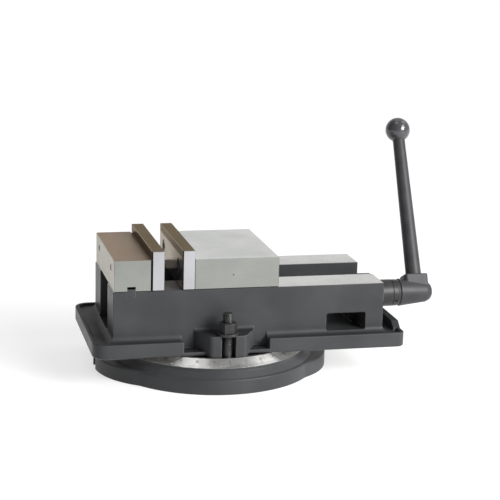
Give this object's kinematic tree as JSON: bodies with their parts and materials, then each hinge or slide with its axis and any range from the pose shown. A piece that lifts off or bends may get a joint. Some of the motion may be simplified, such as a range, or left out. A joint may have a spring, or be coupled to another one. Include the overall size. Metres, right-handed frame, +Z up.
{
  "type": "machine vise",
  "caption": "Angle-lock milling machine vise with flat ground jaws and hardened plates, box-way bed and crank, on a graduated swivel base.",
  "frame": {"origin": "on the swivel axis, in the plane that the base's underside stands on", "axes": "+X along the bed towards the crank, +Y towards the rear, +Z up along the swivel axis"},
  "size_m": [0.4464, 0.258, 0.2896],
  "materials": {
    "painted_casting": "semi-gloss dark grey machine enamel over a smooth sand casting; ways ground bare on top",
    "base_casting": "semi-gloss dark grey machine enamel; turned top face and bevelled degree scale left bare",
    "ground_steel": "ground jaw blocks, fine straight grinding lines",
    "jaw_plate": "hardened and ground jaw plates, near mirror gripping faces",
    "black_steel": "black oxide fasteners",
    "turned_steel": "turned steel, lightly oiled",
    "bronze": "turned bearing bronze",
    "carriage_iron": "machined ductile iron",
    "felt": "oiled felt",
    "crank_paint": "satin dark grey enamel over a cast hub and turned bar",
    "knob": "polished dark grey ball"
  },
  "bodies": {
    "base": {"swivel_base": "base_casting"},
    "bed": {"vise_body": "painted_casting", "swivel_pivot": "turned_steel", "pivot_screw": "black_steel", "clamp_bolts": "black_steel", "clamp_washers": "black_steel", "fixed_jaw": "ground_steel", "fixed_jaw_keys": "painted_casting", "fixed_jaw_bolts": "black_steel", "fixed_jaw_plate": "jaw_plate", "fixed_plate_screws": "black_steel", "screw_bushing": "bronze", "outer_race": "turned_steel", "bearing_cap": "black_steel", "cap_screws": "black_steel", "shaft_seal": "felt"},
    "front_nut": {"front_clamp_nut": "black_steel"},
    "rear_nut": {"rear_clamp_nut": "black_steel"},
    "screw": {"lead_screw": "turned_steel", "inner_race": "turned_steel", "lock_collar": "black_steel", "collar_screw": "black_steel"},
    "bearing_cage": {"needle_cage": "bronze", "needle_rollers": "turned_steel"},
    "jaw": {"movable_jaw": "ground_steel", "movable_jaw_plate": "jaw_plate", "movable_plate_screws": "black_steel", "carriage_nut": "carriage_iron", "half_ball": "turned_steel", "jaw_set_screw": "black_steel"},
    "crank": {"crank_hub": "crank_paint", "crank_bar": "crank_paint", "ball_knob": "knob"}
  },
  "joints": [
    {"name": "swivel", "type": "hinge", "parent": "base", "child": "bed", "pos_m": [0, 0, 0.038], "axis": [0, 0, 1], "continuous": true},
    {"name": "screw_turn", "type": "hinge", "parent": "bed", "child": "screw", "pos_m": [0.2, 0, 0.0804], "axis": [1, 0, 0], "range_deg": [-1540, 9385]},
    {"name": "jaw_slide", "type": "slide", "parent": "bed", "child": "jaw", "axis": [1, 0, 0], "range_m": [-0.0214, 0.1304]},
    {"name": "cage_turn", "type": "hinge", "parent": "bed", "child": "bearing_cage", "pos_m": [0.192, 0, 0.0804], "axis": [1, 0, 0], "range_deg": [-771, 4693]},
    {"name": "crank_pull_off", "type": "slide", "parent": "screw", "child": "crank", "axis": [1, 0, 0], "range_m": [0, 0.045]},
    {"name": "front_nut_turn", "type": "hinge", "parent": "bed", "child": "front_nut", "pos_m": [0, -0.096, 0.0665], "axis": [0, 0, 1], "range_deg": [0, 360]},
    {"name": "rear_nut_turn", "type": "hinge", "parent": "bed", "child": "rear_nut", "pos_m": [0, 0.096, 0.0665], "axis": [0, 0, 1], "range_deg": [0, 360]}
  ],
  "couplings": [
    {"joint": "jaw_slide", "follows": "screw_turn", "m_per_rad": 0.00079577},
    {"joint": "cage_turn", "follows": "screw_turn", "ratio": 0.5}
  ]
}
